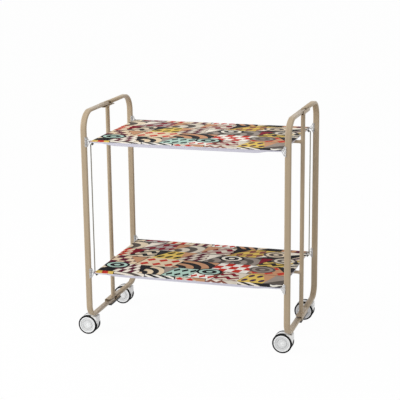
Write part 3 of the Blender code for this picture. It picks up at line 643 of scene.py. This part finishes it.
for level in ("upper", "lower"):
    tray_low, tray_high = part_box(f"{level}_tray")
    underside = tray_high.z - board_thickness
    board_place = ((tray_low.x + tray_high.x) / 2, 0, tray_high.z - board_thickness / 2)
    bpy.ops.object.select_all(action="DESELECT")
    bpy.ops.mesh.primitive_cube_add(size=1, location=board_place)
    board = bpy.context.object
    edit(board)
    bpy.ops.transform.resize(value=(tray_high.x - tray_low.x, tray_high.y - tray_low.y, board_thickness),
                             center_override=board_place)
    mesh = bmesh.from_edit_mesh(board.data)
    for edge in mesh.edges:
        ends = [corner.co for corner in edge.verts]
        edge.select_set((ends[0] - ends[1]).normalized().z ** 2 > 0.5)
    mesh.select_flush_mode()
    bmesh.update_edit_mesh(board.data)
    bpy.ops.mesh.bevel(offset=board_corner, segments=8, affect="EDGES")
    close(board)
    apply_modifier(board, "BEVEL", width=board_edge_round, segments=3, limit_method="ANGLE",
                   angle_limit=math.radians(60))
    mount_piece(board, f"{level}_printed_board", printed_top, "printed_laminate", f"{level}_tray",
                f"{level}_tray")
    board.data.materials.append(pale_edging)
    for face in board.data.polygons:
        face.material_index = 0 if face.normal.z > 0.35 else 1
    hem_depth = underside - tray_low.z
    for place_name, sign in (("front", -1), ("rear", 1)):
        edge_y = tray_low.y if sign < 0 else tray_high.y
        bpy.ops.object.select_all(action="DESELECT")
        blank_place = (board_place[0], edge_y, underside - lip_blank / 2)
        bpy.ops.mesh.primitive_plane_add(size=lip_blank, location=blank_place, rotation=(math.pi / 2, 0, 0))
        lip = bpy.context.object
        edit(lip)
        straight = (tray_high.x - tray_low.x) / 2 - board_corner
        bpy.ops.transform.resize(value=(2 * straight, 1, 1), center_override=lip.location)
        for step in range(1, lip_lengths):
            bpy.ops.mesh.select_all(action="SELECT")
            cut_x = board_place[0] - straight + 2 * straight * step / lip_lengths
            bpy.ops.mesh.bisect(plane_co=(cut_x, 0, 0), plane_no=(1, 0, 0))
        close(lip)
        for vertex in lip.data.vertices:
            if vertex.co.z < underside - lip_blank / 4:
                from_end = (tray_high.x - tray_low.x) / 2 - abs(vertex.co.x - board_place[0])
                vertex.co.z = underside - lip_drop(from_end, hem_depth)
            else:
                vertex.co.z = underside
        edit(lip)
        bpy.ops.mesh.normals_make_consistent(inside=False)
        bpy.ops.object.mode_set(mode="OBJECT")
        outward = lip.data.polygons[0].normal.y * sign
        apply_modifier(lip, "SOLIDIFY", thickness=lip_thickness, offset=-1 if outward > 0 else 1)
        apply_modifier(lip, "BEVEL", width=lip_edge_round, segments=2, limit_method="ANGLE",
                       angle_limit=math.radians(60))
        lip.name = f"{level}_{place_name}_lip"
        lip.data.materials.append(pale_edging)
        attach(lip, f"{level}_tray")

# Two milky clips under each tray snap over its bar, so that the tray can tilt on it. They are of the same
# plastic as the corner clips.
hinge_clip_edge_round = 0.0004
for level in ("upper", "lower"):
    for side in ("left", "right"):
        clip = softened_copy(f"{level}_{side}_hinge_clip", hinge_clip_edge_round)
        mount_piece(clip, f"{level}_{side}_bar_clip", milky_plastic, "clear_plastic", f"{level}_tray",
                    f"{level}_{side}_hinge_clip")

# A thin grey wire ties the trays together at two opposite corners, and keeps them parallel while they tilt.
# Its bent ends turn in drilled lugs under the trays.
grey_wire = skinned_material("grey wire", paint(152, 148, 134), 0.06, 30.0, 0.42, 0.10)
grey_wire.node_tree.nodes["Principled BSDF"].inputs["Metallic"].default_value = 0.2
for level in ("upper", "lower"):
    for corner in ("front_left", "rear_right"):
        lug = softened_copy(f"{level}_{corner}_rod_eye", small_edge_round)
        mount_piece(lug, f"{level}_{corner}_lug", black_plastic, "black_plastic", f"{level}_tray",
                    f"{level}_{corner}_rod_eye")

wire_bend = 0.0045
wire_sides = 16
for corner, inward in (("front_left", 1), ("rear_right", -1)):
    wire_low, wire_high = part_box(f"{corner}_tie_rod")
    wire_radius = (wire_high.y - wire_low.y) / 2
    wire_y = (wire_low.y + wire_high.y) / 2
    wire_x = (wire_low.x if inward > 0 else wire_high.x) + inward * wire_radius
    tip_x = wire_high.x if inward > 0 else wire_low.x
    wire_top, wire_bottom = wire_high.z - wire_radius, wire_low.z + wire_radius
    bpy.ops.object.select_all(action="DESELECT")
    bpy.ops.mesh.primitive_circle_add(vertices=wire_sides, radius=wire_radius, fill_type="NGON",
                                      location=(tip_x, wire_y, wire_top), rotation=(0, math.pi / 2, 0))
    wire = bpy.context.object
    edit(wire)
    draw_on((wire_x + inward * wire_bend - tip_x, 0, 0))
    bend_x = wire_x + inward * wire_bend
    bend_round((bend_x, wire_y, wire_top - wire_bend), inward * math.pi / 2, (0, 1, 0))
    draw_on((0, 0, -(wire_top - wire_bottom - 2 * wire_bend)))
    bend_round((bend_x, wire_y, wire_bottom + wire_bend), inward * math.pi / 2, (0, 1, 0))
    draw_on((tip_x - wire_x - inward * wire_bend, 0, 0))
    bpy.ops.mesh.select_all(action="SELECT")
    bpy.ops.mesh.normals_make_consistent(inside=False)
    close(wire)
    mount_piece(wire, f"{corner}_tie_wire", grey_wire, "grey_wire", f"{corner}_tie_rod", f"{corner}_tie_rod")

# The casters are twin-wheel swivel casters. A zinc stem is pressed in the rail, a white moulded hood turns on
# it, and two pale plastic wheels with stepped, dished faces and thin black tyres run on the hood's axle.
zinc_steel = skinned_material("zinc steel", paint(176, 178, 180), 0.05, 50.0, 0.32, 0.08)
zinc_steel.node_tree.nodes["Principled BSDF"].inputs["Metallic"].default_value = 1.0
white_plastic = skinned_material("white plastic", paint(240, 240, 238), 0.02, 40.0, 0.35, 0.12)
wheel_plastic = skinned_material("wheel plastic", paint(222, 223, 224), 0.02, 50.0, 0.38, 0.12)
black_rubber = skinned_material("black rubber", paint(19, 19, 20), 0.10, 60.0, 0.80, 0.35)
black_rubber.node_tree.nodes["Principled BSDF"].inputs["Specular IOR Level"].default_value = 0.18

# The wheel plastic itself is one pale grey. This ramp paints the light and shade of the stepped, dished face
# over it. The darker rings at the steps are painted shade, and the brighter rim and centre are painted
# highlight.
from_axle = wheel_plastic.node_tree.nodes.new("ShaderNodeAttribute")
from_axle.attribute_name = "from_axle"
painted_dish_shading = wheel_plastic.node_tree.nodes.new("ShaderNodeValToRGB")
dish_shade_stops = ((0.0, 250), (0.16, 246), (0.24, 236), (0.52, 222), (0.575, 202), (0.61, 218), (0.80, 226),
              (0.845, 204), (0.88, 252), (1.0, 252))
for index, (position, tone) in enumerate(dish_shade_stops):
    if index >= len(painted_dish_shading.color_ramp.elements):
        painted_dish_shading.color_ramp.elements.new(position)
    painted_dish_shading.color_ramp.elements[index].position = position
    painted_dish_shading.color_ramp.elements[index].color = paint(tone, tone + 1, tone + 1)
wheel_plastic.node_tree.links.new(from_axle.outputs["Fac"], painted_dish_shading.inputs["Fac"])
wheel_skin = next(node for node in wheel_plastic.node_tree.nodes if node.type == "GROUP")
wheel_plastic.node_tree.links.new(painted_dish_shading.outputs["Color"], wheel_skin.inputs["Colour"])

stem_radius = 0.0045
collar_radius = 0.0080
collar_height = 0.0030
axle_radius = 0.0035
tyre_thickness = 0.0046
stem_chamfer = 0.0006
collar_round = 0.0008
hub_bore = axle_radius + running_gap
hub_chamfer = 0.0006
hub_recess = 0.0035
axle_past_wheel = 0.0015
hood_neck = 0.0090
hood_neck_height = 0.0205
hood_edge_round = 0.0022
hood_below_tread = 0.0020
hood_opening_deg = 346
hood_arc_steps = 48
stem_low, stem_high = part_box("front_left_caster_stem")
hood_low, hood_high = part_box("front_left_caster_hood")
tyre_low, tyre_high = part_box("front_left_caster_front_tyre")
far_tyre_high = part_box("front_left_caster_rear_tyre")[1]
stem_place = (stem_low + stem_high) / 2
axle_place = (tyre_low + far_tyre_high) / 2
wheel_radius = (tyre_high.z - tyre_low.z) / 2
half_tread = (tyre_high.y - tyre_low.y) / 2
wheel_offset = (far_tyre_high.y - tyre_low.y) / 2 - half_tread

hood_top = axle_place.z + wheel_radius - hood_below_tread
collar_low = hood_top + running_gap - stem_place.z
collar_high = collar_low + collar_height
half_stem = (stem_high.z - stem_low.z) / 2
stem_outline = [
    (0.0, -half_stem), (stem_radius - stem_chamfer, -half_stem), (stem_radius, -half_stem + stem_chamfer),
    (stem_radius, collar_low), (collar_radius - collar_round, collar_low),
    (collar_radius, collar_low + collar_round), (collar_radius, collar_high - collar_round),
    (collar_radius - collar_round, collar_high), (stem_radius, collar_high), (stem_radius, half_stem),
    (0.0, half_stem),
]
stem = turned(stem_outline, stem_place, Vector((0, 0, 1)), 32)

hood_radius = axle_place.x - hood_low.x
hood_middle = Vector((axle_place.x, hood_low.y, hood_low.z + hood_radius))
neck_angle = math.asin((hood_top - hood_middle.z) / hood_radius)
opening = math.radians(hood_opening_deg)
hood_start = hood_middle + hood_radius * Vector((math.cos(neck_angle), 0, math.sin(neck_angle)))
bpy.ops.object.select_all(action="DESELECT")
bpy.ops.mesh.primitive_plane_add(size=seed_size, location=hood_start)
hood = bpy.context.object
edit(hood)
bpy.ops.mesh.merge(type="CENTER")
bpy.ops.mesh.spin(steps=hood_arc_steps, angle=opening - neck_angle, center=hood_middle, axis=(0, 1, 0))
mouth = hood_middle + hood_radius * Vector((math.cos(opening), 0, math.sin(opening)))
neck_low = hood_top - hood_neck_height
draw_on((stem_place.x + hood_neck - mouth.x, 0, neck_low - mouth.z))
draw_on((0, 0, hood_top - neck_low))
bpy.ops.mesh.select_all(action="SELECT")
bpy.ops.mesh.remove_doubles(threshold=merge_distance)
bpy.ops.mesh.edge_face_add()
draw_on((0, hood_high.y - hood_low.y, 0))
bpy.ops.mesh.select_all(action="SELECT")
bpy.ops.mesh.normals_make_consistent(inside=False)
close(hood, 30)
apply_modifier(hood, "BEVEL", width=hood_edge_round, segments=4, limit_method="ANGLE",
               angle_limit=math.radians(50))

rim_radius = wheel_radius - tyre_thickness - running_gap
dish_outline = (
    (0.0230, 0.0), (0.0225, 0.0005), (0.0220, 0.0014), (0.0212, 0.0013), (0.0158, 0.0019),
    (0.0152, 0.0026), (0.0146, 0.0018), (0.0110, 0.0013), (0.0060, 0.0011), (0.0048, 0.0018),
    (0.0040, 0.0012), (0.0022, 0.0009), (0.0, 0.0008), (0.0, hub_recess), (hub_bore, hub_recess),
)
hub_outline = [
    (hub_bore, -half_tread), (rim_radius - hub_chamfer, -half_tread), (rim_radius, -half_tread + hub_chamfer),
    (rim_radius, half_tread - hub_chamfer), (rim_radius - hub_chamfer, half_tread),
]
hub_outline += [(radius, half_tread - sunk) for radius, sunk in dish_outline]
hub_outline += [(hub_bore, -half_tread)]
tyre_inside = wheel_radius - tyre_thickness
shoulder = ((0.0016, 0.0), (0.0007, 0.0004), (0.0002, 0.0012), (0.0, 0.0024))
tyre_outline = [(tyre_inside, -half_tread)]
tyre_outline += [(wheel_radius - sunk, -half_tread + inward) for sunk, inward in shoulder]
tyre_outline += [(wheel_radius - sunk, half_tread - inward) for sunk, inward in reversed(shoulder)]
tyre_outline += [(tyre_inside, half_tread), (tyre_inside, -half_tread)]
hub_place = axle_place + Vector((0, -wheel_offset, 0))
hub = turned(hub_outline, hub_place, Vector((0, -1, 0)), 64)
# Each point keeps its distance from the axle, as a share of the rim, and the ramp of painted dish shading
# reads it.
distances = hub.data.attributes.new("from_axle", "FLOAT", "POINT")
for vertex in hub.data.vertices:
    reach = math.hypot(vertex.co.x - hub_place.x, vertex.co.z - hub_place.z)
    distances.data[vertex.index].value = reach / rim_radius
tyre = turned(tyre_outline, hub_place, Vector((0, -1, 0)), 72)
half_axle = wheel_offset + axle_past_wheel
axle_outline = [(0.0, -half_axle), (axle_radius, -half_axle), (axle_radius, half_axle), (0.0, half_axle)]
joined(hood, turned(axle_outline, axle_place, Vector((0, 1, 0)), 24))


def moved(piece, step, turned_round=False):
    """A copy of a piece with its own mesh, moved by a step, or turned to face the other way first."""
    pick(piece)
    bpy.ops.object.duplicate(linked=False)
    copy = bpy.context.object
    edit(copy)
    if turned_round:
        bpy.ops.transform.resize(value=(1, -1, 1), center_override=axle_place)
        bpy.ops.mesh.flip_normals()
    bpy.ops.transform.translate(value=step)
    bpy.ops.object.mode_set(mode="OBJECT")
    return copy


for corner in half_frames:
    caster = f"{corner}_caster"
    corner_low, corner_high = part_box(f"{caster}_stem")
    step = (corner_low + corner_high) / 2 - stem_place
    mount_piece(moved(stem, step), f"{corner}_stem", zinc_steel, "zinc_steel", "frame", f"{caster}_stem")
    mount_piece(moved(hood, step), f"{corner}_hood", white_plastic, "white_plastic", caster, f"{caster}_hood")
    for label in ("front", "rear"):
        wheel = f"{caster}_{label}"
        disc = moved(hub, step, label == "rear")
        tread = moved(tyre, step, label == "rear")
        mount_piece(disc, f"{corner}_{label}_disc", wheel_plastic, "grey_plastic", f"{wheel}_wheel",
                    f"{wheel}_hub")
        mount_piece(tread, f"{corner}_{label}_tread", black_rubber, "black_rubber", f"{wheel}_wheel",
                    f"{wheel}_tyre")
for pattern in (stem, hood, hub, tyre):
    bpy.data.objects.remove(pattern)

# The studio is a plain pale floor under a white surround, lit softly from the left and from above. The camera
# stands in front of the trolley, to its right and a little above it.
floor_size = 30.0
floor_glow = 0.97


def seen_directly(tree):
    """A mask of the rays from the camera, off glossy surfaces and through clear plastic."""
    nodes, link = tree.nodes, tree.links.new
    rays = nodes.new("ShaderNodeLightPath")
    mirrored_too = nodes.new("ShaderNodeMath")
    mirrored_too.operation = "MAXIMUM"
    seen_through = nodes.new("ShaderNodeMath")
    seen_through.operation = "MAXIMUM"
    link(rays.outputs["Is Camera Ray"], mirrored_too.inputs[0])
    link(rays.outputs["Is Glossy Ray"], mirrored_too.inputs[1])
    link(mirrored_too.outputs[0], seen_through.inputs[0])
    link(rays.outputs["Is Transmission Ray"], seen_through.inputs[1])
    return seen_through.outputs[0]


bpy.ops.object.select_all(action="DESELECT")
bpy.ops.mesh.primitive_plane_add(size=floor_size, location=(0, 0, 0))
floor = bpy.context.object
floor.name = "studio_floor"
floor_paint = bpy.data.materials.new("studio floor")
floor_paint.use_nodes = True
nodes, link = floor_paint.node_tree.nodes, floor_paint.node_tree.links.new
nodes["Principled BSDF"].inputs["Base Color"].default_value = (0.86, 0.86, 0.86, 1.0)
nodes["Principled BSDF"].inputs["Roughness"].default_value = 0.9
glow = nodes.new("ShaderNodeEmission")
mix = nodes.new("ShaderNodeMixShader")
share = nodes.new("ShaderNodeMath")
share.operation = "MULTIPLY"
share.inputs[1].default_value = floor_glow
link(seen_directly(floor_paint.node_tree), share.inputs[0])
link(share.outputs[0], mix.inputs["Fac"])
link(nodes["Principled BSDF"].outputs[0], mix.inputs[1])
link(glow.outputs[0], mix.inputs[2])
link(mix.outputs[0], nodes["Material Output"].inputs["Surface"])
floor.data.materials.append(floor_paint)

world = bpy.data.worlds.new("studio surround")
bpy.context.scene.world = world
world.use_nodes = True
nodes, link = world.node_tree.nodes, world.node_tree.links.new
for node in list(nodes):
    nodes.remove(node)
surround = nodes.new("ShaderNodeBackground")
surround.inputs["Strength"].default_value = 0.62
backdrop = nodes.new("ShaderNodeBackground")
backdrop.inputs["Color"].default_value = (1, 1, 1, 1)
surround.inputs["Color"].default_value = (1, 1, 1, 1)
mix = nodes.new("ShaderNodeMixShader")
output = nodes.new("ShaderNodeOutputWorld")
link(seen_directly(world.node_tree), mix.inputs["Fac"])
link(surround.outputs[0], mix.inputs[1])
link(backdrop.outputs[0], mix.inputs[2])
link(mix.outputs[0], output.inputs["Surface"])


def soft_lamp(name, place, target, size, power):
    """A large square lamp that points at a place on the trolley."""
    lamp = bpy.data.lights.new(name, "AREA")
    lamp.shape = "SQUARE"
    lamp.size = size
    lamp.energy = power
    holder = bpy.data.objects.new(name, lamp)
    bpy.context.scene.collection.objects.link(holder)
    holder.location = place
    holder.rotation_euler = (Vector(target) - Vector(place)).to_track_quat("-Z", "Y").to_euler()


soft_lamp("left_softbox", (-2.6, -1.7, 1.9), (0, 0, 0.4), 1.3, 58)
soft_lamp("top_softbox", (0.3, -0.4, 2.8), (0, 0, 0.4), 2.0, 12)

lens = bpy.data.cameras.new("photo camera")
lens.lens = 104.46
lens.sensor_width = 36
lens.clip_end = 50
camera = bpy.data.objects.new("photo camera", lens)
bpy.context.scene.collection.objects.link(camera)
camera.location = (1.0518 + trolley_middle.x, -3.4370, 1.3061)
camera.rotation_euler = [math.radians(angle) for angle in (76.212, 0.629, 17.052)]
bpy.context.scene.camera = camera
bpy.context.scene.view_settings.view_transform = "Standard"
